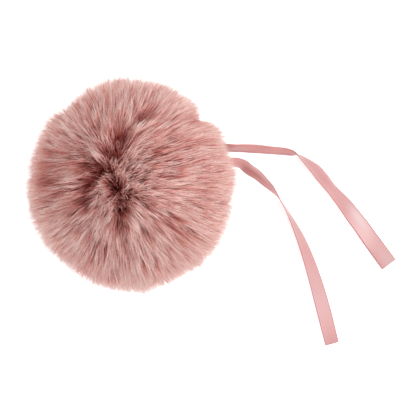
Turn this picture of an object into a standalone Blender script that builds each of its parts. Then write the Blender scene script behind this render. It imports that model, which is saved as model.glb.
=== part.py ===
"""A pom pom with a satin ribbon.

A ball of long soft pile lies on a flat surface, with the crown of the pile, where the
locks part, turned up and a little to one side.  The ribbon is one length, caught at its
middle in the ball's gather.  Its two free tails leave the pile side by side on the right,
turn over once each, and lie down on the surface.

+X is to the right, +Y away, +Z up.  The origin is in the middle of the ball's flat spot.
Lengths are in metres, and the tables below give theirs in millimetres.
"""
import math

import bmesh
import bpy
import numpy as np

MM = 0.001

# The ball
BALL_RADIUS = 0.0605
BALL_HEIGHT = 0.0555
BACKING_RADIUS = 0.034
BALL_CENTRE = np.array([0.0, 0.0, BALL_HEIGHT])

# The pile: its locks grow from the backing and lean away from the crown
LOCK_COUNT = 262
ROOT_DEPTH = 0.0035
CROWN_AXIS = (-0.20, 0.24, 0.95)
LEAN = 0.42
LEAN_BEND = 1.3
PARTING_WIDTH = 0.45
LENGTH_SPREAD = 0.0016
SIDE_SPREAD = 0.0225
POLE_MARGIN = 0.02
LOCK_SEED = 11

# A lock's sections: how far along it each one is, and its share of the room there
LOCK_SECTIONS = (
    # along, share of room
    (0.00, 0.44),
    (0.42, 0.47),
    (0.76, 0.45),
    (1.00, 0.00),
)
TIP_RADIUS = 0.0007
FOOT_RADIUS = 0.0019
MIDDLE_FOOT_RADIUS = 0.0050
FOOT_HEIGHT = 0.007
FOOT_ROOM = 0.0065
LINE_POINTS = 17
FOOT_POINTS = 4
SAMPLE_POINTS = 401

# Hollows in the pile, as seen from above: the crown, the partings, the notches in the rim
HOLLOWS = (
    # x, y, z of the direction, spread in radians, depth in mm
    (-0.18, 0.25, 0.95, 0.30, 6.5),
    (-0.43, -0.05, 0.90, 0.16, 3.5),
    (-0.08, -0.26, 0.96, 0.16, 3.5),
    (-0.07, 0.50, 0.86, 0.14, 3.0),
    (0.15, 0.68, 0.72, 0.14, 2.5),
    (0.75, 0.64, 0.05, 0.14, 5.5),
    (-0.64, 0.77, 0.05, 0.18, 3.0),
    (-0.66, -0.75, 0.05, 0.30, 1.5),
    (0.97, -0.14, 0.05, 0.16, 2.0),
)

# The ribbon
RIBBON_WIDTH = 0.010
RIBBON_THICKNESS = 0.001
RIBBON_STEP = 0.0028
SURFACE_GAP = 0.00005
TURN_RADIUS = 0.0017
TURN_STEPS = 6
SEAT_GAP = 0.0003
CHECK_POINTS_ACROSS = 11
GATHER_AZIMUTH = math.radians(19.0)
GATHER_DROP = math.radians(30.0)
LOCK_CLEARANCE = 0.0016
THINNEST_LOCK = 0.0010

# The two tails, from the gather outwards.  Lift is the height of the lower edge over the
# surface.  Roll is 0 with the ribbon flat, 90 on edge, 180 flat and turned over.
UPPER_TAIL = (
    # x, y, lift, roll in degrees
    (40.0, 16.4, 27.0, 84.0),
    (47.5, 19.6, 21.5, 72.0),
    (54.8, 21.5, 16.0, 63.0),
    (62.5, 21.8, 11.5, 60.0),
    (71.1, 21.5, 7.6, 59.0),
    (80.2, 21.0, 4.4, 61.0),
    (88.6, 20.2, 2.0, 67.0),
    (93.4, 19.3, 1.0, 78.0),
    (96.6, 17.8, 0.6, 92.0),
    (100.6, 14.4, 0.4, 110.0),
    (107.4, 8.6, 0.2, 128.0),
    (116.0, -1.5, 0.0, 136.0),
    (124.7, -12.3, 0.0, 139.0),
    (133.8, -24.2, 0.0, 150.0),
    (142.1, -35.6, 0.0, 166.0),
    (150.2, -46.6, 0.0, 176.0),
)
LOWER_TAIL = (
    # x, y, lift, roll in degrees
    (42.0, 11.6, 25.0, 84.0),
    (50.0, 12.9, 19.0, 68.0),
    (57.9, 13.4, 13.2, 58.0),
    (63.7, 12.0, 9.6, 54.0),
    (68.2, 9.6, 7.0, 51.0),
    (73.3, 6.1, 4.4, 54.0),
    (77.2, 2.7, 2.6, 61.0),
    (80.9, -1.2, 1.4, 72.0),
    (84.2, -5.3, 0.8, 84.0),
    (86.5, -8.6, 0.6, 90.0),
    (91.4, -17.0, 0.4, 105.0),
    (99.1, -33.2, 0.2, 122.0),
    (106.2, -52.0, 0.0, 137.0),
    (111.9, -72.4, 0.0, 147.0),
    (117.1, -93.0, 0.0, 141.0),
)

# Finishes: linear colour and roughness
PILE_COLOUR = (0.533, 0.266, 0.238, 1.0)
PILE_ROUGHNESS = 0.95
SATIN_COLOUR = (0.740, 0.355, 0.355, 1.0)
SATIN_ROUGHNESS = 0.35


def clear_scene():
    for item in list(bpy.data.objects):
        bpy.data.objects.remove(item, do_unlink=True)


def make_collection(name):
    collection = bpy.data.collections.new(name)
    bpy.context.scene.collection.children.link(collection)
    return collection


def make_material(name, colour, roughness):
    material = bpy.data.materials.new(name)
    material.use_nodes = True
    shader = material.node_tree.nodes["Principled BSDF"]
    shader.inputs["Base Color"].default_value = colour
    shader.inputs["Roughness"].default_value = roughness
    shader.inputs["Metallic"].default_value = 0.0
    return material


def unit(vectors):
    return vectors / np.linalg.norm(vectors, axis=-1, keepdims=True)


def smooth_rows(rows, step):
    """Rows about one step apart, on a smooth curve through the given rows.

    Each span is a cubic whose slope at a row is half the way between the row's neighbours.
    """
    rows = np.asarray(rows, dtype=float)
    before = np.vstack((2 * rows[0] - rows[1], rows[:-1]))
    after = np.vstack((rows[1:], 2 * rows[-1] - rows[-2]))
    slopes = (after - before) / 2
    spans = np.linalg.norm(np.diff(rows[:, :2], axis=0), axis=1)
    result = []
    for index, span in enumerate(spans):
        count = max(1, round(span / step))
        t = (np.arange(count) / count)[:, None]
        result.append(
            rows[index] * (2 * t**3 - 3 * t**2 + 1)
            + rows[index + 1] * (3 * t**2 - 2 * t**3)
            + slopes[index] * (t**3 - 2 * t**2 + t)
            + slopes[index + 1] * (t**3 - t**2)
        )
    return np.vstack(result + [rows[-1:]])


def gather_frame():
    """The middle of the ribbon's turn in the gather, the way out of it, and the way across."""
    out = np.array([
        math.cos(GATHER_DROP) * math.cos(GATHER_AZIMUTH),
        math.cos(GATHER_DROP) * math.sin(GATHER_AZIMUTH),
        -math.sin(GATHER_DROP),
    ])
    across = np.array([-math.sin(GATHER_AZIMUTH), math.cos(GATHER_AZIMUTH), 0.0])
    turn_distance = BACKING_RADIUS + SEAT_GAP + RIBBON_THICKNESS / 2 + TURN_RADIUS
    return BALL_CENTRE + out * turn_distance, out, across


def tail_route(table, side):
    """A tail's centre line and width directions, from the gather to its cut end."""
    turn_centre, _, across = gather_frame()
    start = turn_centre + side * TURN_RADIUS * across
    rows = np.asarray(table, dtype=float)
    x, y, lift = rows[:, :3].T * MM
    roll = np.radians(rows[:, 3])
    rise = RIBBON_WIDTH / 2 * np.sin(roll) + RIBBON_THICKNESS / 2 * abs(np.cos(roll))
    stations = np.column_stack((x, y, SURFACE_GAP + lift + rise, roll))
    stations = np.vstack(((*start, math.radians(90.0)), stations))
    stations = smooth_rows(stations, RIBBON_STEP)
    centres = stations[:, :3]
    roll = stations[:, 3:]
    ahead = unit(np.gradient(centres, axis=0))
    left = unit(np.cross((0.0, 0.0, 1.0), ahead))
    up = np.cross(ahead, left)
    widths = np.cos(roll) * left + np.sin(roll) * up
    return centres, widths


def ribbon_route():
    """The whole ribbon: in along the upper tail, round the gather, out along the lower one."""
    turn_centre, out, across = gather_frame()
    upper_centres, upper_widths = tail_route(UPPER_TAIL, 1.0)
    lower_centres, lower_widths = tail_route(LOWER_TAIL, -1.0)
    angles = (math.pi * np.arange(1, TURN_STEPS) / TURN_STEPS)[:, None]
    turn_centres = turn_centre + TURN_RADIUS * (np.cos(angles) * across - np.sin(angles) * out)
    turn_widths = np.broadcast_to(np.cross(out, across), turn_centres.shape)
    centres = np.vstack((upper_centres[::-1], turn_centres, lower_centres))
    widths = np.vstack((upper_widths[::-1], turn_widths, lower_widths))
    return centres, widths


def make_ribbon(centres, widths, collection, material):
    """The ribbon as a strip between its two edges, given its thickness both ways."""
    half = widths * RIBBON_WIDTH / 2
    mesh = bmesh.new()
    left_edge = [mesh.verts.new(point) for point in centres + half]
    right_edge = [mesh.verts.new(point) for point in centres - half]
    for index in range(len(centres) - 1):
        mesh.faces.new((
            left_edge[index], right_edge[index], right_edge[index + 1], left_edge[index + 1]
        ))
    data = bpy.data.meshes.new("ribbon")
    mesh.to_mesh(data)
    mesh.free()
    data.materials.append(material)
    data.shade_smooth()
    ribbon = bpy.data.objects.new("ribbon", data)
    collection.objects.link(ribbon)
    thickness = ribbon.modifiers.new("thickness", "SOLIDIFY")
    thickness.thickness = RIBBON_THICKNESS
    thickness.offset = 0.0
    thickness.use_even_offset = True
    return ribbon


def crown_directions(polar, turn):
    """Unit directions at a polar angle from the crown and a turn about it."""
    crown = unit(np.array(CROWN_AXIS))
    right = unit(np.cross((0.0, 1.0, 0.0), crown))
    away = np.cross(crown, right)
    polar = np.asarray(polar)[..., None]
    turn = np.asarray(turn)[..., None]
    return np.cos(polar) * crown + np.sin(polar) * (np.cos(turn) * right + np.sin(turn) * away)


def lean_share(polar):
    """How much the pile leans: it parts at the crown and stands straight underneath."""
    return (1.0 - np.exp(-polar / PARTING_WIDTH)) * np.cos(polar / 2) ** 2


def leaned(polar, along):
    return polar + LEAN * lean_share(polar) * along**LEAN_BEND


def hollow_depth(directions):
    depth = np.zeros(len(directions))
    for *axis, spread, deep in HOLLOWS:
        angle = np.arccos(np.clip(directions @ unit(np.array(axis)), -1.0, 1.0))
        depth += deep * MM * np.exp(-((angle / spread) ** 2))
    return depth


def lock_lines(along):
    """Points along every lock, shaped (locks, len(along), 3), and which locks meet the floor.

    The tips are spread evenly over the ball.  Each lock runs from its root on the backing to
    its tip, turning away from the crown as it goes, and one that would pass through the floor
    is shorter, so that it ends on it.
    """
    draw = np.random.default_rng(LOCK_SEED)
    number = np.arange(LOCK_COUNT) + 0.5
    tip_polar = np.arccos(1.0 - 2.0 * number / LOCK_COUNT)
    turn = number * math.pi * (3.0 - math.sqrt(5.0))
    tip_polar = tip_polar + draw.uniform(-1, 1, LOCK_COUNT) * SIDE_SPREAD
    tip_polar = np.clip(tip_polar, POLE_MARGIN, math.pi - POLE_MARGIN)
    turn = turn + draw.uniform(-1, 1, LOCK_COUNT) * SIDE_SPREAD / np.sin(tip_polar)
    polar_samples = np.linspace(0.0, math.pi, SAMPLE_POINTS)
    root_polar = np.interp(tip_polar, leaned(polar_samples, 1.0), polar_samples)
    length = BALL_RADIUS - BACKING_RADIUS + ROOT_DEPTH
    length = length + draw.uniform(-1, 1, LOCK_COUNT) * LENGTH_SPREAD
    length = length - hollow_depth(crown_directions(tip_polar, turn))

    def points(share):
        polar = leaned(root_polar[:, None], share)
        distance = BACKING_RADIUS - ROOT_DEPTH + length[:, None] * share
        return BALL_CENTRE + distance[..., None] * crown_directions(polar, turn[:, None])

    fine = np.linspace(0.0, 1.0, SAMPLE_POINTS)
    heights = points(np.broadcast_to(fine, (LOCK_COUNT, len(fine))))[..., 2]
    below = heights < 0.0
    on_floor = below.any(axis=1)
    reach = np.where(on_floor, fine[np.argmax(below, axis=1)], 1.0)
    lines = points(reach[:, None] * np.asarray(along)[None, :])
    lines[on_floor, -1, 2] = 0.0
    return lines, on_floor


def distance_to(points, others):
    return np.linalg.norm(points[:, None, :] - others[None, :, :], axis=-1).min(axis=1)


def lock_room(sections, fine):
    """Half the free width at each lock section: the distance to the nearest other lock."""
    room = np.empty(sections.shape[:2])
    for index, lock in enumerate(sections):
        others = np.delete(fine, index, axis=0).reshape(-1, 3)
        room[index] = distance_to(lock, others)
    return room


def middle_line(along):
    """The middle foot's centre line, straight down from the backing to the origin."""
    line = np.zeros((1, len(along), 3))
    line[0, :, 2] = (1.0 - along) * (BALL_HEIGHT - BACKING_RADIUS + ROOT_DEPTH)
    return line


def choose_locks(ribbon_points):
    """Centre points and radii of the locks that are kept, clear of each other and the ribbon."""
    along, share = np.array(LOCK_SECTIONS).T
    fine = np.linspace(0.0, 1.0, LINE_POINTS)
    sections, on_floor = lock_lines(along)
    lines, _ = lock_lines(fine)

    # A lock on the floor stands straight on it, so that its cut end lies level
    sections[on_floor, -2] = sections[on_floor, -1]
    sections[on_floor, -2, 2] += FOOT_HEIGHT
    lines[on_floor, -FOOT_POINTS:] = lines[on_floor, -1:]
    lines[on_floor, -FOOT_POINTS:, 2] = np.linspace(FOOT_HEIGHT, 0.0, FOOT_POINTS)

    # The middle foot takes the place of the locks that would end beside it
    beside = on_floor & (np.hypot(*sections[:, -1, :2].T) < FOOT_ROOM)
    sections = np.concatenate((middle_line(along), sections[~beside]))
    lines = np.concatenate((middle_line(fine), lines[~beside]))
    on_floor = np.concatenate(([True], on_floor[~beside]))

    radii = share * lock_room(sections, lines)
    ribbon_room = distance_to(sections.reshape(-1, 3), ribbon_points).reshape(radii.shape)
    line_room = distance_to(lines.reshape(-1, 3), ribbon_points).reshape(lines.shape[:2])
    radii = np.minimum(radii, ribbon_room - LOCK_CLEARANCE)
    radii[:, -1] = np.where(on_floor, FOOT_RADIUS, TIP_RADIUS)
    radii[0, -2:] = MIDDLE_FOOT_RADIUS
    clear = (radii[:, :-1] > THINNEST_LOCK).all(axis=1)
    clear &= line_room.min(axis=1) > THINNEST_LOCK + LOCK_CLEARANCE
    return sections[clear], radii[clear]


def mesh_from_curve(source, name, collection):
    """The curve's mesh with its end caps joined on, in place of the curve."""
    graph = bpy.context.evaluated_depsgraph_get()
    data = bpy.data.meshes.new_from_object(source.evaluated_get(graph))
    mesh = bmesh.new()
    mesh.from_mesh(data)
    bmesh.ops.remove_doubles(mesh, verts=mesh.verts, dist=0.01 * MM)
    bmesh.ops.recalc_face_normals(mesh, faces=mesh.faces)
    mesh.to_mesh(data)
    mesh.free()
    data.name = name
    solid = bpy.data.objects.new(name, data)
    solid.matrix_world = source.matrix_world
    collection.objects.link(solid)
    bpy.data.objects.remove(source, do_unlink=True)
    return solid


def make_locks(sections, radii, collection):
    """Every lock as a four-sided tube that follows its sections and narrows to its tip."""
    curve = bpy.data.curves.new("locks", "CURVE")
    curve.dimensions = "3D"
    curve.bevel_depth = MM
    curve.bevel_resolution = 0
    curve.use_fill_caps = True
    for points, widths in zip(sections, radii):
        spline = curve.splines.new("POLY")
        spline.points.add(len(points) - 1)
        for target, position, radius in zip(spline.points, points, widths):
            target.co = (*position, 1.0)
            target.radius = radius / MM
    tubes = bpy.data.objects.new("lock_tubes", curve)
    collection.objects.link(tubes)
    bpy.context.view_layer.update()
    locks = mesh_from_curve(tubes, "locks", collection)
    locks.hide_render = True
    locks.display_type = "WIRE"
    return locks


def make_pompom(locks, collection, material):
    """The backing ball with the roots of all the locks joined into it."""
    mesh = bmesh.new()
    bmesh.ops.create_icosphere(mesh, subdivisions=3, radius=BACKING_RADIUS)
    data = bpy.data.meshes.new("pompom")
    mesh.to_mesh(data)
    mesh.free()
    data.materials.append(material)
    data.shade_smooth()
    data.set_sharp_from_angle(angle=math.radians(40.0))
    pompom = bpy.data.objects.new("pompom", data)
    pompom.location = BALL_CENTRE
    collection.objects.link(pompom)
    join = pompom.modifiers.new("locks", "BOOLEAN")
    join.operation = "UNION"
    join.solver = "EXACT"
    join.object = locks
    return pompom


clear_scene()
parts = make_collection("pom_pom")
joined_shapes = make_collection("joined_shapes")
pile = make_material("pile", PILE_COLOUR, PILE_ROUGHNESS)
satin = make_material("satin", SATIN_COLOUR, SATIN_ROUGHNESS)

ribbon_centres, ribbon_widths = ribbon_route()
make_ribbon(ribbon_centres, ribbon_widths, parts, satin)

across_ribbon = np.linspace(-0.5, 0.5, CHECK_POINTS_ACROSS)[:, None, None] * RIBBON_WIDTH
ribbon_surface = (ribbon_centres + across_ribbon * ribbon_widths).reshape(-1, 3)
lock_sections, lock_radii = choose_locks(ribbon_surface)
lock_solids = make_locks(lock_sections, lock_radii, joined_shapes)
make_pompom(lock_solids, parts, pile)
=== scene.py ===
"""A pom pom of long dusty-pink pile with a satin ribbon, lying on a pale surface, seen from
straight above."""
import math

import bpy
import numpy as np
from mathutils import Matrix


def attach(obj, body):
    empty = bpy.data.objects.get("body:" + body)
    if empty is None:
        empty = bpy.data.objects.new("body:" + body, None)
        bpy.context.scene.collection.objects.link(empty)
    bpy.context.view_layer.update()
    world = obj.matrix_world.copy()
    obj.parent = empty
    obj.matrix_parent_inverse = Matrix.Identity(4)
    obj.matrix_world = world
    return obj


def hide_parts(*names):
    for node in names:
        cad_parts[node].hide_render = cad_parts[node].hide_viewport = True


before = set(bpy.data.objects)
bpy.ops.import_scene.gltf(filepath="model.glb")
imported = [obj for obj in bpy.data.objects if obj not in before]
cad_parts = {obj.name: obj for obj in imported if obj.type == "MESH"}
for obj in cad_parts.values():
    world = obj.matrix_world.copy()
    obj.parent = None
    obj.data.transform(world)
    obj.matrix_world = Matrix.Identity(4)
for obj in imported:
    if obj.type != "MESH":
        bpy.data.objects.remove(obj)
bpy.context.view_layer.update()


# The camera hangs far above the surface and looks straight down, as for a flat lay.
# The photograph's frame is 416 pixels wide, and the ball measures 209.5 of them.
PHOTO_PIXELS = 416
BALL_PIXELS = 209.5
BALL_MIDDLE_PIXEL = (131.5, 185.0)
BALL_ACROSS = 0.120
BALL_CENTRE = np.array([0.0, 0.0, 0.0555])
CAMERA_HEIGHT = 2.0
SENSOR_WIDTH = 36.0

metres_per_pixel = BALL_ACROSS / BALL_PIXELS
camera_data = bpy.data.cameras.new("camera")
camera_data.sensor_width = SENSOR_WIDTH
half_view = PHOTO_PIXELS / 2 * metres_per_pixel
camera_data.lens = SENSOR_WIDTH / 2 * (CAMERA_HEIGHT - BALL_CENTRE[2]) / half_view
camera = bpy.data.objects.new("camera", camera_data)
camera.location = (
    (PHOTO_PIXELS / 2 - BALL_MIDDLE_PIXEL[0]) * metres_per_pixel,
    (BALL_MIDDLE_PIXEL[1] - PHOTO_PIXELS / 2) * metres_per_pixel,
    CAMERA_HEIGHT,
)
bpy.context.scene.collection.objects.link(camera)
bpy.context.scene.camera = camera
bpy.context.scene.view_settings.view_transform = "Standard"


# The surface and the light: a white table lit faintly from below, so that it shows hardly
# any shadow, an even white room, and one large soft lamp up on the right, which leaves the
# ball's left side a little darker.
SURFACE_SIZE = 4.0
WHITE = (1.0, 1.0, 1.0, 1.0)
SURFACE_FINISH = {
    "Base Color": (0.93, 0.93, 0.93, 1.0),
    "Roughness": 0.9,
    "Emission Color": WHITE,
    "Emission Strength": 0.46,
}
ROOM_STRENGTH = 1.12
LAMP_PLACE = (0.90, 0.06, 0.90)
LAMP_SIZE = 0.55
LAMP_POWER = 5.6


def link_mesh(name, mesh, material):
    """Put a finished mesh in the scene at the origin with its one material."""
    mesh.materials.append(material)
    piece = bpy.data.objects.new(name, mesh)
    bpy.context.scene.collection.objects.link(piece)
    return piece


def mesh_from_arrays(name, points, faces):
    """A mesh from points shaped (n, 3) and faces that are rows of point numbers."""
    mesh = bpy.data.meshes.new(name)
    mesh.from_pydata(points.tolist(), [], faces.tolist())
    mesh.update()
    return mesh


def new_material(name, finish):
    """A node material, its tree and its Principled shader, with the finish's values."""
    material = bpy.data.materials.new(name)
    material.use_nodes = True
    shader = material.node_tree.nodes["Principled BSDF"]
    for socket, value in finish.items():
        shader.inputs[socket].default_value = value
    return material, material.node_tree, shader


surface_material = new_material("surface", SURFACE_FINISH)[0]
surface_corners = np.array([(-1, -1, 0), (1, -1, 0), (1, 1, 0), (-1, 1, 0)]) * SURFACE_SIZE / 2
surface_mesh = mesh_from_arrays("surface", surface_corners, np.array([[0, 1, 2, 3]]))
surface = link_mesh("surface", surface_mesh, surface_material)

room = bpy.data.worlds.new("room")
room.use_nodes = True
room_light = room.node_tree.nodes["Background"]
room_light.inputs["Color"].default_value = WHITE
room_light.inputs["Strength"].default_value = ROOM_STRENGTH
bpy.context.scene.world = room

lamp_data = bpy.data.lights.new("lamp", "AREA")
lamp_data.shape = "DISK"
lamp_data.size = LAMP_SIZE
lamp_data.energy = LAMP_POWER
lamp = bpy.data.objects.new("lamp", lamp_data)
lamp.location = LAMP_PLACE
towards_ball = BALL_CENTRE - np.array(LAMP_PLACE)
lamp.rotation_euler = (
    math.atan2(np.hypot(towards_ball[0], towards_ball[1]), -towards_ball[2]),
    0.0,
    math.atan2(-towards_ball[0], towards_ball[1]),
)
bpy.context.scene.collection.objects.link(lamp)


# The backing: the knitted ground of the pile, drawn into a ball, dark and out of sight but
# for the partings.  The ribbon is caught in its gather.
BACKING_RADIUS = 0.038
BACKING_ROUNDS = 48
BACKING_FINISH = {"Roughness": 1.0}
LUMP_HEIGHT = 0.0009
LUMP_WAVES = ((19.0, 7.0, 5.0), (-6.0, 17.0, 9.0), (4.0, -8.0, 21.0))
KNIT_SCALE = 900.0
KNIT_DARK = (0.160, 0.022, 0.018, 1.0)
KNIT_PALE = (0.300, 0.055, 0.044, 1.0)
GATHER_AZIMUTH = math.radians(19.0)
GATHER_DROP = math.radians(30.0)
GATHER_OUT = np.array([
    math.cos(GATHER_DROP) * math.cos(GATHER_AZIMUTH),
    math.cos(GATHER_DROP) * math.sin(GATHER_AZIMUTH),
    -math.sin(GATHER_DROP),
])
GATHER_WIDTH = 0.22
GATHER_HOLLOW = 0.0024


def bell(distance, width):
    """A smooth bump: e to the minus square of the distance over the width."""
    return np.exp(-(distance / width) ** 2)


def sphere_grid(rounds, radius_at):
    """A closed ball: rounds of points at equal polar steps, each at radius_at(directions).

    The point at polar angle a and turn b is radius * (sin a cos b, sin a sin b, cos a),
    and one point closes each pole.
    """
    turns = 2 * rounds
    polar = np.linspace(0.0, math.pi, rounds + 1)[1:-1, None]
    turn = np.linspace(0.0, 2 * math.pi, turns, endpoint=False)[None, :]
    ring = np.stack((
        np.sin(polar) * np.cos(turn), np.sin(polar) * np.sin(turn),
        np.cos(polar) * np.ones_like(turn),
    ), axis=-1).reshape(-1, 3)
    directions = np.vstack((ring, (0.0, 0.0, 1.0), (0.0, 0.0, -1.0)))
    points = BALL_CENTRE + directions * radius_at(directions)[:, None]
    row, column = np.meshgrid(np.arange(rounds - 2), np.arange(turns), indexing="ij")
    after = (column + 1) % turns
    quads = np.stack((
        row * turns + column, (row + 1) * turns + column,
        (row + 1) * turns + after, row * turns + after,
    ), axis=-1).reshape(-1, 4)
    column = np.arange(turns)
    after = (column + 1) % turns
    last = (rounds - 2) * turns
    top = np.stack((np.full(turns, len(ring)), column, after), axis=-1)
    bottom = np.stack((np.full(turns, len(ring) + 1), last + after, last + column), axis=-1)
    mesh = bpy.data.meshes.new("ball")
    mesh.from_pydata(points.tolist(), [], quads.tolist() + top.tolist() + bottom.tolist())
    mesh.update()
    return mesh


def backing_radius(directions):
    """The ball's radius, with low lumps as three crossed waves, and drawn in as a bell
    where the ribbon is caught."""
    lumps = LUMP_HEIGHT * sum(np.sin(directions @ wave) for wave in LUMP_WAVES)
    from_gather = np.linalg.norm(directions - GATHER_OUT, axis=1)
    return BACKING_RADIUS + lumps - GATHER_HOLLOW * bell(from_gather, GATHER_WIDTH)


def add_node(tree, kind, inputs, **settings):
    """A new node with its settings, and its inputs set to values or linked to outputs."""
    node = tree.nodes.new(kind)
    for name, value in settings.items():
        setattr(node, name, value)
    for socket, value in inputs.items():
        if isinstance(value, bpy.types.NodeSocket):
            tree.links.new(value, node.inputs[socket])
        else:
            node.inputs[socket].default_value = value
    return node


def colour_ramp(tree, place, stops):
    """A ramp's colour at a place from 0 to 1: the stops are rows of a place and a colour."""
    node = add_node(tree, "ShaderNodeValToRGB", {"Fac": place})
    elements = node.color_ramp.elements
    elements[0].position, elements[0].color = stops[0]
    elements[1].position, elements[1].color = stops[-1]
    for position, colour in stops[1:-1]:
        elements.new(position).color = colour
    return node.outputs["Color"]


backing_material, backing_tree, backing_shader = new_material("pile_ground", BACKING_FINISH)
knit_place = add_node(backing_tree, "ShaderNodeTexCoord", {})
knit = add_node(backing_tree, "ShaderNodeTexNoise", {
    "Vector": knit_place.outputs["Object"], "Scale": KNIT_SCALE})
knit_colour = colour_ramp(
    backing_tree, knit.outputs["Fac"], ((0.0, KNIT_DARK), (1.0, KNIT_PALE)))
backing_tree.links.new(knit_colour, backing_shader.inputs["Base Color"])
backing_mesh = sphere_grid(BACKING_ROUNDS, backing_radius)
backing_mesh.shade_smooth()
backing = link_mesh("pile_backing", backing_mesh, backing_material)
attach(backing, "root")
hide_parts("pompom")


# The pile: long soft acrylic fibres, knitted into the backing and brushed out.  They part
# at the crown, lean away from it all round, and stick together in wisps and locks, with
# dark roots, dusty-pink bodies and pale tips.
BALL_RADIUS = 0.0605
ROOT_RADIUS = 0.0375
LONGEST_TIP = 0.0652
SHORTEST_FIBRE = 0.004
SURFACE_CLEARANCE = 0.0004
FIBRE_SIDES = 3
FIBRE_STATIONS = np.array([0.0, 0.42, 0.76, 1.0])
FIBRE_RADII = np.array([0.27, 0.25, 0.14, 0.0]) * 0.001
LOCKS = 420
WISPS = 20
FIBRES = 7
PILE_PIECES = 5
PILE_SEED = 5
GOLDEN_TURN = math.pi * (3.0 - math.sqrt(5.0))
ANGLE_SAMPLES = 721
TINY = 1e-6

# The radius of a disc that has one lock's share of a ball of radius 1, and one wisp's share.
# What moves a root or a tip across the ball is a share of these, or an angle in radians.
LOCK_DISC = 2.0 / math.sqrt(LOCKS)
WISP_DISC = LOCK_DISC / math.sqrt(WISPS)
LOCK_OVERLAP = 1.42
WISP_OVERLAP = 1.15
LOCK_JITTER = 0.016
FIBRE_JITTER = 0.25
POLE_CLEARANCE = 0.01
ACROSS_FROM = (0.31, -0.27, 0.91)

# How far a lock and a wisp draw their fibres' tips together, from 0 to 1, and how far the
# tips stray.  They stray more around the crown, and the sides are combed out evenly.
LOCK_PULL = (0.05, 0.35)
WISP_PULL = (0.55, 1.0)
PULL_BEND = 1.5
LOCK_STRAY = 0.15
WISP_STRAY = 0.60
FRIZZ = 0.014
CROWN_STRAY = 1.8
CROWN_STRAY_WIDTH = 0.55
CROWN_FRIZZ = 0.06
CROWN_FRIZZ_WIDTH = 0.34
COMBED_FROM = 0.75
COMBED_TO = 1.45
COMBED_SHARE = 0.75
CROWN_WIDTH = 0.44
LEAN = 0.60
LEAN_BEND = 1.35
COWLICKS = 14
COWLICK_PITCH = 7.0
COWLICK_PITCH_SPREAD = (0.7, 1.6)
COWLICK_PUSH = 0.040
CROWN_COWLICK_PUSH = 0.030
CRIMP = 0.011
CRIMP_SHARES = np.array([0.0, 0.6, -1.0, 0.0])

# Lengths: a fibre is shorter towards the edge of its lock and of its wisp, and unevenly so
# from lock to lock, wisp to wisp and fibre to fibre.  A few fly away, a little longer.
TIP_ALLOWANCE = 0.0029
LOCK_ROUNDING = 0.0009
WISP_ROUNDING = 0.0015
LOCK_UNEVEN = 0.0005
WISP_UNEVEN = 0.0017
FIBRE_UNEVEN = 0.0018
FLYAWAYS = 0.06
FLYAWAY_LENGTH = 0.0016
TUFT_HEIGHT = 0.0015
LEAST_DROP = 0.05

# Tone is how light a fibre is from end to end, and paleness grows from its root to its tip.
# A fibre that ends deeper in the pile is darker all along and at its tip, as painted shade.
MIDDLE_TONE = 0.5
LOCK_TONES = 0.04
WISP_TONES = 0.31
FIBRE_TONES = 0.18
TONE_LIMITS = (0.03, 0.97)
TONE_CONTRAST = 0.50
COMBED_PAINTED_LIGHT = 0.16
CROWN_PAINTED_LIGHT = 0.10
CROWN_PAINTED_LIGHT_WIDTH = 0.60
BODY_PALENESS = 0.64
TIP_PALENESS = 0.38
MAP_MARGIN = 0.01
MAP_HALF_WIDTH = 0.012
PILE_FINISH = {
    "Roughness": 0.62,
    "Specular IOR Level": 0.08,
    "Sheen Weight": 0.04,
    "Sheen Roughness": 0.45,
    "Sheen Tint": (1.0, 0.86, 0.82, 1.0),
}
PILE_COLOURS = (
    # place from the root's shade to the palest tip, colour
    (0.00, (0.170, 0.020, 0.017, 1.0)),
    (0.30, (0.360, 0.058, 0.048, 1.0)),
    (0.55, (0.640, 0.222, 0.188, 1.0)),
    (0.78, (0.842, 0.464, 0.414, 1.0)),
    (1.00, (0.970, 0.725, 0.668, 1.0)),
)

# The crown is a line on the ball that the pile leans away from on both sides, as places seen
# from above in millimetres.
CROWN_LINE = ((-14.0, 18.0), (-10.0, -4.0))

# The partings run outwards from the crown, and a short one lies by itself further out.
# Each is a line of places on the ball, as seen from above in millimetres, with its half
# width in radians and its depth in millimetres.
PARTINGS = (
    # half width, depth, places
    (0.070, 9.0, ((-13.0, 18.5), (-9.6, 17.8), (-6.0, 23.0), (-4.4, 30.0))),
    (0.050, 6.5, ((-14.5, 12.4), (-21.0, 12.1), (-28.0, 10.0))),
    (0.055, 7.5, ((-17.5, 8.8), (-23.1, 3.3), (-28.6, -2.5), (-27.0, -11.0))),
    (0.045, 4.4, ((-12.1, 7.3), (-11.4, 2.2), (-8.5, -0.7))),
    (0.055, 6.2, ((-8.5, -0.7), (-7.4, -4.4), (-4.1, -10.9), (-3.9, -18.3), (-5.0, -24.6))),
    (0.045, 4.5, ((0.0, -6.9), (6.1, -6.5), (11.6, -10.6))),
    (0.050, 6.0, ((6.8, 39.8), (9.4, 42.0))),
)
PARTING_PUSH = 0.045
PARTING_SEEN = 0.80
PARTING_SHADE = 28.0
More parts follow.
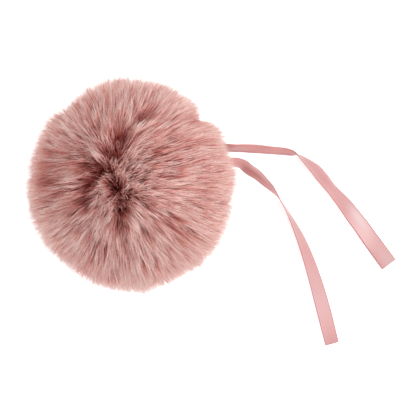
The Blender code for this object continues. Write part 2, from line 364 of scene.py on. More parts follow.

# Tufts stand up around the crown.  At them and at other places, small or broad, the tone is
# shifted as painted light and shade: the tufts and some stretches paler, and the gaps between
# tufts, a parting and some broad stretches, most of all on the ball's left, darker.  Each is a
# place seen from above, its radius, how much it shifts the tone, and how far it draws the tips
# together, from 0 to 1.
TUFTS_AND_PAINTED_LIGHT = (
    # x, y, radius in millimetres, tone, draw
    (-20.0, 18.0, 3.8, 1.20, 0.70),
    (-7.2, 15.8, 2.0, 0.70, 0.50),
    (-14.6, 5.8, 2.4, 0.70, 0.50),
    (3.2, 38.4, 2.6, 0.40, 0.35),
    (-10.0, 17.0, 3.0, -0.45, 0.0),
    (-17.5, 11.5, 4.0, -0.25, 0.0),
    (-26.0, 0.0, 4.0, -0.20, 0.0),
    (-47.5, 6.0, 12.0, -0.90, 0.0),
    (47.0, 0.0, 14.0, -0.25, 0.0),
    (39.5, -39.5, 9.0, -0.18, 0.0),
    (-36.0, 43.0, 7.0, 0.30, 0.0),
    (0.0, 46.0, 10.0, 0.16, 0.0),
    (-49.0, -6.0, 3.0, 0.25, 0.0),
    (-17.0, -44.0, 3.0, -0.35, 0.0),
    (6.0, -51.5, 3.0, -0.35, 0.0),
    (30.5, -34.5, 4.0, -0.30, 0.0),
    (8.5, -42.0, 3.5, 0.30, 0.0),
    (-1.5, -55.5, 3.0, 0.35, 0.0),
    (17.5, -36.0, 3.0, 0.25, 0.0),
    (-18.0, -24.0, 3.5, 0.20, 0.0),
    (-10.0, 54.0, 3.0, -0.30, 0.0),
    (-31.0, -31.0, 12.0, 0.20, 0.0),
    (-31.0, 31.0, 10.0, 0.08, 0.0),
    (0.0, -44.0, 12.0, 0.18, 0.0),
    (3.0, 0.0, 9.0, 0.18, 0.0),
)

# Dents in the ball's outline, and swellings as negative ones: the turn to each from +X, its
# half width, both in degrees, and its depth in millimetres.  Each runs well up and down the
# ball's side.
DENTS = (
    # turn, half width, depth
    (16.0, 5.0, 1.5),
    (22.0, 5.0, 1.6),
    (30.0, 5.0, 0.8),
    (42.0, 5.0, 6.9),
    (54.0, 8.0, 1.2),
    (99.0, 13.0, -1.4),
    (131.0, 9.0, 3.2),
    (165.0, 20.0, 1.0),
    (236.0, 10.0, 2.0),
    (274.0, 16.0, -1.1),
    (315.0, 8.0, -0.6),
    (349.0, 9.0, 3.0),
)
DENT_HEIGHT = 0.55


def unit(vectors):
    """Each vector divided by its length."""
    return vectors / np.linalg.norm(vectors, axis=-1, keepdims=True)


def arc(start, way, angle):
    """Unit directions at an angle from the start, turning in the given way."""
    return np.cos(angle)[..., None] * start + np.sin(angle)[..., None] * way


def angle_between(ways, others):
    """The angle between unit directions: the arc cosine of their dot product."""
    return np.arccos(np.clip(np.sum(ways * others, axis=1), -1.0, 1.0))


def leaned(polar, along):
    """The polar angle reached along a fibre: it grows by a lean that starts at nothing on
    the crown, is widest at mid height and dies away underneath."""
    share = (1.0 - np.exp(-polar / CROWN_WIDTH)) * np.cos(polar / 2) ** 2
    return polar + LEAN * share * along ** LEAN_BEND


def ball_place(x, y):
    """The direction of a place on the upper half, seen from above in millimetres."""
    flat = np.array((x, y)) / (1000.0 * BALL_RADIUS)
    return np.append(flat, math.sqrt(1.0 - flat @ flat))


def disc_places(groups, count, radius, draw):
    """Places spread evenly over a disc on a golden spiral, turned at random in each group."""
    number = np.arange(count) + 0.5
    angle = number * GOLDEN_TURN + draw.uniform(0.0, 2.0 * math.pi, (groups, 1))
    distance = radius * np.sqrt(number / count)
    return np.stack((distance * np.cos(angle), distance * np.sin(angle)), axis=-1)


def nearest_on_line(directions, places):
    """The point nearest to each direction on the line through the places on the ball: on
    each span it is the foot of the perpendicular, kept within the span."""
    line = np.array([ball_place(x, y) for x, y in places])
    nearest = np.full(len(directions), np.inf)
    foot = np.zeros_like(directions)
    for start, end in zip(line[:-1], line[1:]):
        span = end - start
        share = np.clip((directions - start) @ span / (span @ span), 0.0, 1.0)
        point = start + share[:, None] * span
        distance = np.linalg.norm(directions - point, axis=1)
        foot = np.where((distance < nearest)[:, None], point, foot)
        nearest = np.minimum(distance, nearest)
    return foot


def parting_field(directions):
    """How deep the partings are at each direction, and which way they push the tips.

    The depth falls off as a bell from the nearest place on a parting's line.  The push
    points away from that place and grows from nothing on the line to its most at the
    parting's half width.
    """
    depth = np.zeros(len(directions))
    push = np.zeros_like(directions)
    for half_width, deep, places in PARTINGS:
        away = (directions - nearest_on_line(directions, places)) / half_width
        squared = np.sum(away ** 2, axis=1)
        depth = np.maximum(depth, deep * 0.001 * np.exp(-squared))
        push += away * np.exp(0.5 - squared / 2)[:, None] * PARTING_PUSH
    return depth, push


def cowlicks(directions, draw):
    """A smooth push of the tips to one side or another: crossed waves over the ball, each
    pushing along its own crests, so that the tips are neither crowded nor parted."""
    ways = unit(draw.normal(size=(COWLICKS, 3)))
    pitches = COWLICK_PITCH * draw.uniform(*COWLICK_PITCH_SPREAD, COWLICKS)
    starts = draw.uniform(0.0, 2.0 * math.pi, COWLICKS)
    waves = np.sin(directions @ ways.T * pitches + starts) / math.sqrt(COWLICKS / 2)
    return np.cross(directions, waves @ ways)


def dent_depth(directions):
    """The dents' depths added up, each a bell in its turn and in height."""
    turn = np.degrees(np.arctan2(directions[:, 1], directions[:, 0]))
    depth = np.zeros(len(directions))
    for way, half_width, deep in DENTS:
        apart = (turn - way + 180.0) % 360.0 - 180.0
        depth += deep * 0.001 * bell(apart, half_width) * bell(directions[:, 2], DENT_HEIGHT)
    return depth


def lock_frames(draw):
    """Each lock's way out of the ball and two ways across it.  The locks are spread evenly
    over the ball on a golden spiral, each a little off its place."""
    number = np.arange(LOCKS) + 0.5
    polar = np.arccos(1.0 - 2.0 * number / LOCKS) + draw.normal(0.0, LOCK_JITTER, LOCKS)
    polar = np.clip(polar, POLE_CLEARANCE, math.pi - POLE_CLEARANCE)
    turn = number * GOLDEN_TURN + draw.normal(0.0, LOCK_JITTER, LOCKS) / np.sin(polar)
    level = np.stack((np.cos(turn), np.sin(turn), np.zeros(LOCKS)), axis=-1)
    outwards = arc(np.array((0.0, 0.0, 1.0)), level, polar)
    sideways = unit(np.cross(outwards, ACROSS_FROM))
    return outwards, sideways, np.cross(outwards, sideways)


def drawn_tips(wisp_places, fibre_places, crown_near, combed, draw):
    """How each tip moves across its lock: towards the middle of its lock and of its wisp,
    and astray with its lock, with its wisp and by itself."""
    lock_pull = draw.uniform(*LOCK_PULL, (LOCKS, 1, 1, 1))
    wisp_pull = draw.uniform(*WISP_PULL, (LOCKS, WISPS, 1, 1)) * (1.0 - combed[..., None])
    astray = 1.0 + CROWN_STRAY * bell(crown_near, CROWN_STRAY_WIDTH)[:, None, None, None]
    moved = -lock_pull * wisp_places - wisp_pull * fibre_places
    moved += astray * draw.normal(0.0, LOCK_DISC * LOCK_STRAY, (LOCKS, 1, 1, 2))
    moved += astray * draw.normal(0.0, WISP_DISC * WISP_STRAY, (LOCKS, WISPS, 1, 2))
    moved += draw.normal(0.0, FRIZZ, moved.shape)
    return moved


def uneven_lengths(wisp_places, fibre_places, combed, draw):
    """How much shorter each fibre is than the longest: it grows with the square of its place
    in its lock and in its wisp, and varies by lock, wisp and fibre."""
    from_wisp = np.linalg.norm(fibre_places, axis=-1) / (WISP_DISC * WISP_OVERLAP)
    from_lock = np.linalg.norm(wisp_places + fibre_places, axis=-1) / (LOCK_DISC * LOCK_OVERLAP)
    shorter = LOCK_ROUNDING * from_lock ** 2 + WISP_ROUNDING * from_wisp ** 2
    shorter += draw.normal(0.0, LOCK_UNEVEN, (LOCKS, 1, 1))
    shorter += (1.0 - combed) * draw.normal(0.0, WISP_UNEVEN, (LOCKS, WISPS, 1))
    shorter += draw.exponential(FIBRE_UNEVEN, shorter.shape)
    shorter -= FLYAWAY_LENGTH * (draw.random(shorter.shape) < FLYAWAYS)
    return shorter.reshape(-1)


def uneven_tones_and_side_light(combed, draw):
    """Each fibre's own tone, which varies by lock, wisp and fibre, and paler where combed out
    on the ball's sides: painted light for the glow through the tips there.
    """
    tone = draw.normal(MIDDLE_TONE, LOCK_TONES, (LOCKS, 1, 1))
    tone = tone + draw.normal(0.0, WISP_TONES, (LOCKS, WISPS, 1))
    tone = tone + draw.normal(0.0, FIBRE_TONES, (LOCKS, WISPS, FIBRES))
    return (tone + COMBED_PAINTED_LIGHT * combed).reshape(-1)


def grow_pile(draw):
    """Every fibre's points, shaped (fibres, stations, 3), how pale it is at each, and its
    tone, both from 0 to 1.

    Wisps are spread over each lock and fibres over each wisp on golden spirals.  A fibre
    starts at its own root, leans away from the crown and bends towards the middle of its
    wisp and its lock.
    """
    lock_ways, sideways, upwards = lock_frames(draw)

    def on_ball(places):
        """Moves across each lock, shaped (..., 2), as moves in space."""
        return places[..., :1] * sideways[:, None, None] + places[..., 1:] * upwards[:, None, None]

    # Where each fibre would stand by itself, and how its wisp and its lock move its tip.
    wisp_places = disc_places(LOCKS, WISPS, LOCK_DISC * LOCK_OVERLAP, draw)[:, :, None]
    fibre_places = disc_places(LOCKS * WISPS, FIBRES, WISP_DISC * WISP_OVERLAP, draw)
    fibre_places = fibre_places.reshape(LOCKS, WISPS, FIBRES, 2)
    fibre_places += draw.normal(0.0, WISP_DISC * FIBRE_JITTER, fibre_places.shape)
    crown_near = angle_between(lock_ways, unit(nearest_on_line(lock_ways, CROWN_LINE)))
    combed = np.clip((crown_near - COMBED_FROM) / (COMBED_TO - COMBED_FROM), 0.0, 1.0)
    combed = COMBED_SHARE * combed[:, None, None]
    moved = drawn_tips(wisp_places, fibre_places, crown_near, combed, draw)
    ways = unit(lock_ways[:, None, None] + on_ball(wisp_places + fibre_places)).reshape(-1, 3)
    moves = on_ball(moved).reshape(-1, 3)

    # How the crown ruffles the tips, and the ball's cowlicks push them.
    crown = unit(nearest_on_line(ways, CROWN_LINE))
    from_crown = angle_between(ways, crown)
    outwards = unit(ways - np.cos(from_crown)[:, None] * crown + TINY)
    crown_frizz = CROWN_FRIZZ * bell(from_crown, CROWN_FRIZZ_WIDTH)
    moves += crown_frizz[:, None] * draw.normal(size=moves.shape)
    cowlick_push = COWLICK_PUSH + CROWN_COWLICK_PUSH * bell(from_crown, CROWN_STRAY_WIDTH)
    moves += cowlick_push[:, None] * cowlicks(ways, draw)

    # The root lies nearer the crown than the tip, by the lean turned back.  The partings go
    # by the place where most of a fibre is seen.
    samples = np.linspace(0.0, math.pi, ANGLE_SAMPLES)
    root = np.interp(from_crown, leaned(samples, 1.0), samples)
    seen = arc(crown, outwards, leaned(root, PARTING_SEEN))
    seen = unit(seen + moves * PARTING_SEEN ** PULL_BEND)
    depth, push = parting_field(seen)
    moves += push
    tips = unit(ways + moves)

    shorter = uneven_lengths(wisp_places, fibre_places, combed, draw)
    tip_radius = BALL_RADIUS + TIP_ALLOWANCE - shorter - depth - dent_depth(tips)
    # The tone is darker in the partings, by their depth: painted shade.
    tone = uneven_tones_and_side_light(combed, draw) - PARTING_SHADE * depth
    # Around the crown the tone is paler: painted light that lifts the shade there.
    tone += CROWN_PAINTED_LIGHT * bell(from_crown, CROWN_PAINTED_LIGHT_WIDTH)

    # Every patch shifts the tone, as painted light or shade.  A tuft also draws its tips together
    # and stands them up, to its full height wherever it draws them at least half the way.
    for x, y, radius, shift, gather in TUFTS_AND_PAINTED_LIGHT:
        middle = ball_place(x, y)
        apart = np.linalg.norm((tips if gather else seen) - middle, axis=1)
        share = bell(apart, radius / (1000.0 * BALL_RADIUS))
        tone += shift * share
        moves += (gather * share)[:, None] * (middle - tips)
        stood_up = (BALL_RADIUS + TUFT_HEIGHT) * np.minimum(2.0 * gather * share, 1.0)
        tip_radius = np.maximum(tip_radius, stood_up)
    tone = np.clip(tone, *TONE_LIMITS)
    tip_radius = np.clip(tip_radius, ROOT_RADIUS + SHORTEST_FIBRE, LONGEST_TIP)

    # The fibre's line leans, bends with its tip's move and is crimped in between.  It stops
    # going down where it meets the surface.
    along = FIBRE_STATIONS[None, :]
    lines = arc(crown[:, None], outwards[:, None], leaned(root[:, None], along))
    crimp = draw.normal(0.0, CRIMP, (LOCKS, WISPS, 1, 2))
    crimp = crimp + draw.normal(0.0, CRIMP / 2, (LOCKS, WISPS, FIBRES, 2))
    crimp = on_ball(crimp).reshape(-1, 1, 3) * CRIMP_SHARES[:, None]
    lines = unit(lines + moves[:, None] * along[..., None] ** PULL_BEND + crimp)
    length = tip_radius[:, None] - ROOT_RADIUS
    # A fibre that ends deeper in the pile, in a parting or by chance, grows less pale along its
    # length and at its tip: painted shade for the depth of the pile.
    full_length = length / (BALL_RADIUS - ROOT_RADIUS)
    paleness = BODY_PALENESS * full_length * along
    paleness = np.clip(paleness + TIP_PALENESS * full_length ** 2 * along ** 4, 0.0, 1.0)
    lowest_reach = (BALL_CENTRE[2] - SURFACE_CLEARANCE) / np.maximum(-lines[..., 2], LEAST_DROP)
    reach = np.minimum(ROOT_RADIUS + length * along, lowest_reach)
    return BALL_CENTRE + lines * reach[..., None], paleness, tone


def fibre_mesh(name, lines, paleness, tones, draw):
    """Fibres as closed spikes: a ring of points round the line at every station but the
    last, which is the tip, and a base that closes the root.  Each face's map place is the
    fibre's tone across and how pale the fibre is there upwards, both with the painted light
    and shade they carry."""
    count, stations = lines.shape[:2]
    ahead = unit(np.gradient(lines, axis=1))
    side = unit(np.cross(ahead, unit(draw.normal(size=(count, 1, 3)))))
    other = np.cross(ahead, side)
    angles = (np.arange(FIBRE_SIDES) * 2 * math.pi / FIBRE_SIDES)[:, None]
    round_line = np.cos(angles) * side[:, :-1, None] + np.sin(angles) * other[:, :-1, None]
    rings = lines[:, :-1, None] + FIBRE_RADII[None, :-1, None, None] * round_line
    points = np.concatenate((rings.reshape(count, -1, 3), lines[:, -1:]), axis=1)
    per_fibre = points.shape[1]

    corner = np.arange(FIBRE_SIDES)
    after = (corner + 1) % FIBRE_SIDES
    band = np.stack((corner, after, FIBRE_SIDES + after, FIBRE_SIDES + corner), axis=-1)
    bands = [(band + FIBRE_SIDES * ring).reshape(-1) for ring in range(stations - 2)]
    last_ring = FIBRE_SIDES * (stations - 2)
    end = np.full(FIBRE_SIDES, per_fibre - 1)
    tip = np.stack((last_ring + corner, last_ring + after, end), axis=-1)
    corners = np.concatenate(bands + [tip.reshape(-1), corner[::-1]])
    sizes = [4] * FIBRE_SIDES * (stations - 2) + [3] * FIBRE_SIDES + [FIBRE_SIDES]
    starts = np.cumsum([0] + sizes[:-1])
    across = np.linspace(-MAP_HALF_WIDTH, MAP_HALF_WIDTH, FIBRE_SIDES)
    across = np.append(np.tile(across, stations - 1), 0.0)
    up = np.column_stack((np.repeat(paleness[:, :-1], FIBRE_SIDES, axis=1), paleness[:, -1]))
    up = MAP_MARGIN + (1.0 - 2.0 * MAP_MARGIN) * up

    mesh = bpy.data.meshes.new(name)
    mesh.vertices.add(count * per_fibre)
    mesh.vertices.foreach_set("co", points.reshape(-1))
    numbers = np.arange(count)[:, None]
    mesh.loops.add(count * len(corners))
    mesh.loops.foreach_set("vertex_index", (numbers * per_fibre + corners).reshape(-1))
    mesh.polygons.add(count * len(sizes))
    mesh.polygons.foreach_set("loop_start", (numbers * len(corners) + starts).reshape(-1))
    mesh.update(calc_edges=True)
    wrap = mesh.uv_layers.new(name="OFBake")
    places = np.stack((tones[:, None] + across[corners], up[:, corners]), axis=-1)
    wrap.data.foreach_set("uv", places.reshape(-1))
    mesh.shade_smooth()
    return mesh


def pile_material():
    """Colour by the fibre's own map: dark at the root, pale at the tip, and each fibre a
    little lighter or darker by its tone, both with the painted light and shade they carry."""
    material, tree, shader = new_material("pile", PILE_FINISH)
    place = add_node(tree, "ShaderNodeUVMap", {}, uv_map="OFBake")
    parts = add_node(tree, "ShaderNodeSeparateXYZ", {"Vector": place.outputs["UV"]})
    shift = add_node(tree, "ShaderNodeMath", {
        0: parts.outputs["X"], 1: TONE_CONTRAST, 2: -TONE_CONTRAST / 2}, operation="MULTIPLY_ADD")
    total = add_node(tree, "ShaderNodeMath", {
        0: shift.outputs["Value"], 1: parts.outputs["Y"]}, operation="ADD")
    colour = colour_ramp(tree, total.outputs["Value"], PILE_COLOURS)
    tree.links.new(colour, shader.inputs["Base Color"])
    return material


pile_draw = np.random.default_rng(PILE_SEED)
fibre_lines, fibre_paleness_and_shade, fibre_tones_and_shade = grow_pile(pile_draw)
fibre_material = pile_material()
lock_numbers = np.repeat(np.arange(LOCKS), WISPS * FIBRES)
for piece_number in range(PILE_PIECES):
    chosen = lock_numbers % PILE_PIECES == piece_number
    pile_name = f"pile_{piece_number + 1}"
    pile_mesh = fibre_mesh(
        pile_name, fibre_lines[chosen], fibre_paleness_and_shade[chosen], fibre_tones_and_shade[chosen], pile_draw)
    pile = link_mesh(pile_name, pile_mesh, fibre_material)
    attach(pile, "root")
    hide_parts("pompom")


# The ribbon: one length of 10 mm single-face satin, folded at its middle and caught in the
# ball's gather.  Its two tails leave the pile on edge with their dull back up, turn over
# once, and lie on the surface with their satin face up.
RIBBON_WIDTH = 0.010
RIBBON_THICKNESS = 0.00035
RIBBON_STEP = 0.0009
RIBBON_LIFT = 0.0001
ACROSS_STEPS = 12
TURN_RADIUS = 0.0017
TURN_STEPS = 10
GATHER_DISTANCE = 0.0382
FOLD_TURN = math.radians(22.0)
GATHER_ROLL = math.radians(90.0)
FACE_ROUGHNESS = 0.40
BACK_ROUGHNESS = 0.55
SATIN_FINISH = {
    "Roughness": FACE_ROUGHNESS,
    "Specular IOR Level": 1.0,
    "Anisotropic": 0.45,
    "Sheen Weight": 0.10,
    "Sheen Roughness": 0.35,
    "Coat Weight": 0.5,
    "Coat Roughness": 0.38,
}
RIB_PITCH = 0.00115
RIB_PAINTED_SHADE = 0.26
RIB_BUMP = 0.35
RIB_DEPTH = 0.00008
FACE_RIBS = 0.3
STREAKS_ACROSS = 68.0
STREAKS_ALONG = 9.0
STREAK_TINT = (0.90, 1.08)
FACE_COLOUR = (0.470, 0.204, 0.200, 1.0)
FACE_LINE = (0.420, 0.090, 0.088, 1.0)
BACK_COLOUR = (0.560, 0.174, 0.162, 1.0)
BACK_LINE = (0.500, 0.130, 0.124, 1.0)
LIP_COLOUR = (0.480, 0.150, 0.145, 1.0)

# The ribbon's map runs round its section from 0 to 1: the satin face up to 0.5 and then the
# back.  Each side has a darker line inside its edges, and a lip lies between the two.
FACE_TO_BACK = (0.499, 0.501)
EDGE_MAP = 0.02
END_MAP = 0.001
WEAVE = (
    # place round the section, colour
    (0.000, LIP_COLOUR),
    (0.020, FACE_LINE),
    (0.034, FACE_LINE),
    (0.046, FACE_COLOUR),
    (0.454, FACE_COLOUR),
    (0.466, FACE_LINE),
    (0.480, FACE_LINE),
    (0.500, LIP_COLOUR),
    (0.520, BACK_LINE),
    (0.540, BACK_LINE),
    (0.552, BACK_COLOUR),
    (0.948, BACK_COLOUR),
    (0.960, BACK_LINE),
    (0.980, BACK_LINE),
    (1.000, LIP_COLOUR),
)

# Lift is the lower edge's height over the surface.  Roll is the turn about the tail's own
# line: it lies level at 0, 180 and 360 and stands on edge at 90 and 270.  The upper tail has
# its back up between 90 and 270, and the lower one up to 90, both near the ball.  Fold is
# how much steeper its middle is than its two edges, or flatter below 0.
UPPER_TAIL = (
    # x, y, lift in millimetres, roll in degrees, fold
    (40.0, 16.4, 27.0, 118.0, 0.0),
    (47.5, 19.6, 21.5, 190.0, 0.0),
    (54.8, 21.5, 16.0, 243.0, 0.1),
    (62.5, 21.8, 11.5, 245.0, 0.2),
    (71.1, 21.5, 7.6, 242.0, 0.1),
    (80.2, 20.7, 4.4, 245.0, 0.1),
    (88.6, 20.0, 2.0, 247.0, 0.1),
    (93.7, 18.9, 1.1, 254.0, 0.2),
    (97.5, 17.3, 0.6, 279.0, 0.3),
    (101.2, 14.4, 0.4, 292.0, 0.2),
    (107.2, 9.2, 0.2, 310.0, 0.3),
    (111.3, 4.4, 0.1, 314.0, 0.4),
    (116.0, -1.5, 0.0, 309.0, 0.2),
    (120.8, -7.1, 0.0, 317.0, 0.0),
    (125.0, -12.1, 0.0, 327.0, 0.0),
    (129.3, -17.8, 0.0, 335.0, 0.0),
    (134.1, -24.0, 0.0, 340.0, 0.0),
    (138.2, -29.9, 0.0, 344.0, 0.0),
    (142.3, -35.5, 0.0, 348.0, 0.0),
    (150.4, -46.5, 0.0, 354.0, 0.0),
)
LOWER_TAIL = (
    # x, y, lift in millimetres, roll in degrees, fold
    (42.0, 11.6, 25.0, 84.0, 0.0),
    (50.0, 12.9, 19.0, 70.0, -0.2),
    (57.9, 13.6, 13.2, 60.0, -0.3),
    (63.8, 12.4, 9.6, 57.0, -0.4),
    (68.0, 9.3, 7.0, 52.0, -0.4),
    (73.0, 5.8, 4.4, 57.0, -0.3),
    (76.8, 2.3, 2.6, 63.0, -0.2),
    (80.7, -1.4, 1.4, 71.0, 0.0),
    (84.1, -5.4, 0.8, 84.0, 0.2),
    (86.4, -8.7, 0.6, 90.0, 0.3),
    (91.4, -17.0, 0.4, 101.0, 0.1),
    (99.1, -33.2, 0.2, 122.0, 0.0),
    (105.8, -52.1, 0.0, 137.0, 0.0),
    (111.6, -72.5, 0.0, 147.0, 0.0),
    (116.8, -93.1, 0.0, 144.0, 0.0),
)

# Painted light and shade on the ribbon, beyond what its shape gives: above 0 painted shade in
# its hollows, bends and edges and a painted reflection of the ball near it, deeper in colour,
# and below 0 painted light on its ridges and a painted highlight on its glossy stretch, paler.
PAINTED_LIGHT_TINTS = (
    # place from the palest to the deepest, factor for each colour
    (0.0, (1.18, 1.98, 2.03, 1.0)),
    (0.5, WHITE),
    (1.0, (0.73, 0.41, 0.36, 1.0)),
)
PAINTED_LIGHT_MARKS = (
    # x, y in millimetres, share across from -1 to 1, half length in millimetres,
    # half width as a share, shade
    (69.5, 8.2, -0.15, 8.0, 0.45, 1.3),
    (72.5, 6.2, 0.95, 9.0, 0.45, -1.5),
    (62.0, 12.6, -0.70, 5.0, 0.40, -0.4),
    (73.0, 5.8, -1.00, 10.0, 0.32, 1.4),
    (92.0, -20.0, 0.00, 10.0, 1.50, 0.95),
    (99.0, -36.0, 0.00, 8.0, 1.50, 0.22),
    (104.5, -54.0, 0.00, 9.0, 1.50, -0.15),
    (110.5, -68.0, 0.00, 9.0, 1.50, -0.20),
    (116.5, -92.0, 0.00, 7.0, 1.50, 0.40),
    (56.0, 21.6, -0.50, 4.0, 0.60, 0.5),
    (63.0, 21.8, 0.40, 6.0, 0.40, -0.4),
    (80.0, 20.8, 0.20, 8.0, 1.50, 0.42),
    (78.0, 20.9, 1.00, 24.0, 0.24, 1.3),
    (76.0, 21.0, -1.00, 16.0, 0.16, -0.8),
    (89.0, 19.8, 0.30, 5.0, 1.00, 0.5),
    (96.5, 17.4, 0.00, 4.5, 1.50, 0.9),
    (101.0, 14.0, 0.00, 7.0, 1.50, 0.70),
    (113.0, -1.0, 0.00, 10.0, 1.50, 0.24),
    (130.0, -19.0, 0.45, 9.0, 0.65, -0.75),
    (149.0, -45.0, 0.30, 8.0, 1.00, -0.33),
    (145.0, -39.0, -0.90, 8.0, 0.60, 0.25),
)


def smooth_rows(rows, step):
    """Rows about one step apart, on a smooth curve through the given rows: each span is a
    cubic whose slope at a row is half the way between the row's neighbours."""
    before = np.vstack((2 * rows[0] - rows[1], rows[:-1]))
    after = np.vstack((rows[1:], 2 * rows[-1] - rows[-2]))
    slopes = (after - before) / 2
    spans = np.linalg.norm(np.diff(rows[:, :2], axis=0), axis=1)
    result = []
    for index, span in enumerate(spans):
        count = max(1, round(span / step))
        t = (np.arange(count) / count)[:, None]
        result.append(
            rows[index] * (2 * t**3 - 3 * t**2 + 1)
            + rows[index + 1] * (3 * t**2 - 2 * t**3)
            + slopes[index] * (t**3 - 2 * t**2 + t)
            + slopes[index + 1] * (t**3 - t**2)
        )
    return np.vstack(result + [rows[-1:]])


def gather_frame():
    """The middle of the ribbon's turn in the gather, and the way across it."""
    across = np.array([-math.sin(GATHER_AZIMUTH), math.cos(GATHER_AZIMUTH), 0.0])
    return BALL_CENTRE + GATHER_OUT * (GATHER_DISTANCE + TURN_RADIUS), across


def tail_route(table, side):
    """A tail's centre line, the ways to its left and up, its roll and its fold, from the
    gather to its cut end."""
    turn_centre, across = gather_frame()
    start = turn_centre + side * TURN_RADIUS * across
    rows = np.asarray(table, dtype=float)
    x, y, lift = rows[:, :3].T * 0.001
    roll = np.radians(rows[:, 3])
    height = RIBBON_LIFT + lift + RIBBON_WIDTH / 2 * np.abs(np.sin(roll)) + RIBBON_THICKNESS / 2
    stations = np.column_stack((x, y, height, roll, rows[:, 4]))
    stations = np.vstack(((*start, GATHER_ROLL, 0.0), stations))
    stations = smooth_rows(stations, RIBBON_STEP)
    ahead = unit(np.gradient(stations[:, :3], axis=0))
    left = unit(np.cross((0.0, 0.0, 1.0), ahead))
    return stations[:, :3], left, np.cross(ahead, left), stations[:, 3], stations[:, 4]


def tail_surface(table, side):
    """A tail as a grid, along it and across it.

    The slope across, as a roll, is the centre's roll plus the fold times one less three
    times the squared share of the half width, so the middle is steeper and the edges are
    flatter.  The points are the slopes added up from the centre line outwards.
    """
    centres, left, up, roll, fold = tail_route(table, side)
    shares = (np.arange(ACROSS_STEPS) + 0.5) / ACROSS_STEPS * 2.0 - 1.0
    slopes = roll[:, None] + FOLD_TURN * fold[:, None] * (1.0 - 3.0 * shares ** 2)
    steps = np.cos(slopes)[..., None] * left[:, None] + np.sin(slopes)[..., None] * up[:, None]
    steps = steps * RIBBON_WIDTH / ACROSS_STEPS
    offsets = np.concatenate((np.zeros_like(steps[:, :1]), np.cumsum(steps, axis=1)), axis=1)
    offsets -= offsets[:, ACROSS_STEPS // 2, None]
    return centres[:, None] + offsets


def ribbon_surface():
    """The whole ribbon as one grid: the upper tail from its cut end, half a turn in the
    gather, and the lower tail to its cut end."""
    turn_centre, across = gather_frame()
    angles = (math.pi * np.arange(1, TURN_STEPS) / TURN_STEPS)[:, None, None]
    turn = turn_centre + TURN_RADIUS * (np.cos(angles) * across - np.sin(angles) * GATHER_OUT)
    shares = np.linspace(-0.5, 0.5, ACROSS_STEPS + 1)[None, :, None]
    turn = turn + shares * RIBBON_WIDTH * np.cross(GATHER_OUT, across)
    upper, lower = tail_surface(UPPER_TAIL, 1.0), tail_surface(LOWER_TAIL, -1.0)
    return np.concatenate((upper[::-1], turn, lower))


def ribbon_shell(points, places):
    """The grid as a closed shell of the ribbon's thickness, and its map.

    Each point moves half the thickness along the grid's unit normal to one side and to the
    other.  The sections are closed loops: over the satin face, round one woven edge, over
    the back, and round the other edge.  The map runs round the loop and along the ribbon,
    both from 0 to 1.
    """
    rows, columns = points.shape[:2]
    normals = unit(np.cross(np.gradient(points, axis=0), np.gradient(points, axis=1)))
    half = normals * RIBBON_THICKNESS / 2
    loops = np.concatenate((points - half, (points + half)[:, ::-1]), axis=1)
    around = 2 * columns
    row, column = np.meshgrid(np.arange(rows - 1), np.arange(around), indexing="ij")
    after = (column + 1) % around
    tube = np.stack((
        row * around + column, (row + 1) * around + column,
        (row + 1) * around + after, row * around + after,
    ), axis=-1).reshape(-1, 4)
    side = np.arange(columns - 1)
    cap = np.stack((side, side + 1, around - 2 - side, around - 1 - side), axis=-1)
    faces = np.vstack((tube, cap, cap[:, ::-1] + (rows - 1) * around))

    share = np.linspace(EDGE_MAP, 0.5 - EDGE_MAP, columns)
    across = np.concatenate((share, share + 0.5, (1.0,)))
    tube_across = np.stack((column, column, column + 1, column + 1), axis=-1)
    tube_along = np.stack((row, row + 1, row + 1, row), axis=-1)
    tube_map = np.stack((across[tube_across], places[tube_along]), axis=-1).reshape(-1, 2)
    cap_across = share[np.stack((side, side + 1, side + 1, side), axis=-1)]
    cap_along = np.broadcast_to((0.0, 0.0, END_MAP, END_MAP), cap_across.shape)
    cap_map = np.stack((cap_across, cap_along), axis=-1)
    end_map = np.stack((cap_across[:, ::-1], 1.0 - cap_along[:, ::-1]), axis=-1)
    face_map = np.vstack((tube_map, cap_map.reshape(-1, 2), end_map.reshape(-1, 2)))
    return loops.reshape(-1, 3), faces, face_map


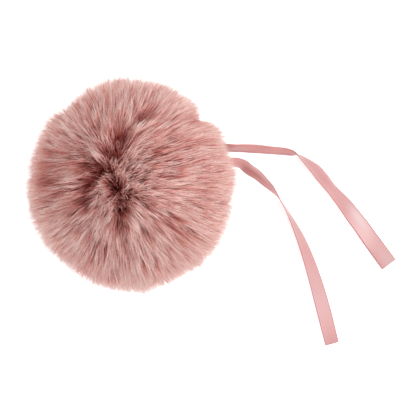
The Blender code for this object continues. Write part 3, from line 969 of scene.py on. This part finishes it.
def ribbon_material(length):
    """Satin by the ribbon's own map: a glossy pale face and a duller, deeper back, both
    with darker woven edges, cross ribs, whose light and shade is painted into the colour as
    well as bumped, and long streaks.

    The colour is the weave's, times the painted light and shade's tint, times the streak's tint
    plus the ribs' painted shade, a share of the wave sin(2 pi distance / pitch).
    """
    material, tree, shader = new_material("satin_ribbon", SATIN_FINISH)
    place = add_node(tree, "ShaderNodeUVMap", {}, uv_map="OFBake")
    parts = add_node(tree, "ShaderNodeSeparateXYZ", {"Vector": place.outputs["UV"]})
    around, along = parts.outputs["X"], parts.outputs["Y"]

    def math_node(operation, *values):
        """The result of a sum on values and outputs."""
        inputs = dict(enumerate(values))
        return add_node(tree, "ShaderNodeMath", inputs, operation=operation).outputs["Value"]

    def spread(value, limits):
        """A value from 0 to 1 carried over to other limits, or the other way round."""
        return add_node(tree, "ShaderNodeMapRange", {"Value": value, **limits}).outputs["Result"]

    weave = colour_ramp(tree, around, WEAVE)
    on_back = spread(around, {"From Min": FACE_TO_BACK[0], "From Max": FACE_TO_BACK[1]})
    roughness = spread(on_back, {"To Min": FACE_ROUGHNESS, "To Max": BACK_ROUGHNESS})
    wave = math_node("SINE", math_node("MULTIPLY", along, length / RIB_PITCH * 2 * math.pi))
    ribs = math_node("MULTIPLY", wave, spread(on_back, {"To Min": FACE_RIBS, "To Max": 1.0}))
    bump = add_node(tree, "ShaderNodeBump", {
        "Strength": RIB_BUMP, "Distance": RIB_DEPTH, "Height": ribs})

    streak_place = add_node(tree, "ShaderNodeCombineXYZ", {
        "X": math_node("MULTIPLY", around, STREAKS_ACROSS),
        "Y": math_node("MULTIPLY", along, STREAKS_ALONG),
    })
    streak = add_node(tree, "ShaderNodeTexNoise", {
        "Vector": streak_place.outputs["Vector"], "Scale": 1.0})
    tint = spread(streak.outputs["Fac"], {"To Min": STREAK_TINT[0], "To Max": STREAK_TINT[1]})
    # The ribs' light and shade is painted into the colour as well as bumped.
    tint = math_node("MULTIPLY_ADD", ribs, RIB_PAINTED_SHADE, tint)

    # The ribbon's painted light and shade, kept on its points, tints the weave's colour.
    painted_light_node = add_node(tree, "ShaderNodeAttribute", {}, attribute_name="painted_light_shade")
    weave_in_painted_light = add_node(tree, "ShaderNodeVectorMath", {
        0: weave, 1: colour_ramp(tree, painted_light_node.outputs["Fac"], PAINTED_LIGHT_TINTS)}, operation="MULTIPLY")
    colour = add_node(tree, "ShaderNodeVectorMath", {
        "Vector": weave_in_painted_light.outputs["Vector"], "Scale": tint}, operation="SCALE")
    tree.links.new(colour.outputs["Vector"], shader.inputs["Base Color"])
    tree.links.new(roughness, shader.inputs["Roughness"])
    tree.links.new(bump.outputs["Normal"], shader.inputs["Normal"])
    return material


def painted_light_shade(centres, distance, shares):
    """The painted light and shade at every point, from 0, palest, to 1, deepest: each mark is a
    bell along the ribbon and across it, around the station nearest to its place."""
    shade = np.zeros((len(centres), len(shares)))
    for x, y, across, half_length, half_width, deep in PAINTED_LIGHT_MARKS:
        nearest = np.argmin(np.linalg.norm(centres[:, :2] - np.array((x, y)) * 0.001, axis=1))
        along = bell(distance - distance[nearest], half_length * 0.001)
        shade += deep * along[:, None] * bell(shares - across, half_width)[None, :]
    return 0.5 + 0.5 * np.clip(shade, -1.0, 1.0)


ribbon_points = ribbon_surface()
ribbon_centres = ribbon_points[:, ACROSS_STEPS // 2]
ribbon_steps = np.linalg.norm(np.diff(ribbon_centres, axis=0), axis=1)
ribbon_distance = np.concatenate(([0.0], np.cumsum(ribbon_steps)))
ribbon_length = float(ribbon_distance[-1])
ribbon_corners, ribbon_faces, ribbon_map = ribbon_shell(
    ribbon_points, ribbon_distance / ribbon_length)
ribbon_mesh = mesh_from_arrays("ribbon_satin", ribbon_corners, ribbon_faces)
ribbon_wrap = ribbon_mesh.uv_layers.new(name="OFBake")
ribbon_wrap.data.foreach_set("uv", ribbon_map.reshape(-1))
shade_shares = np.linspace(-1.0, 1.0, ACROSS_STEPS + 1)
# Painted light and shade for every point, the same on both sides of the ribbon.
ribbon_shade = painted_light_shade(ribbon_centres, ribbon_distance, shade_shares)
ribbon_shade = np.concatenate((ribbon_shade, ribbon_shade[:, ::-1]), axis=1)
shade_layer = ribbon_mesh.attributes.new("painted_light_shade", "FLOAT", "POINT")
shade_layer.data.foreach_set("value", ribbon_shade.reshape(-1))
ribbon_mesh.shade_smooth()
ribbon = link_mesh("ribbon_satin", ribbon_mesh, ribbon_material(ribbon_length))
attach(ribbon, "root")
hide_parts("ribbon")
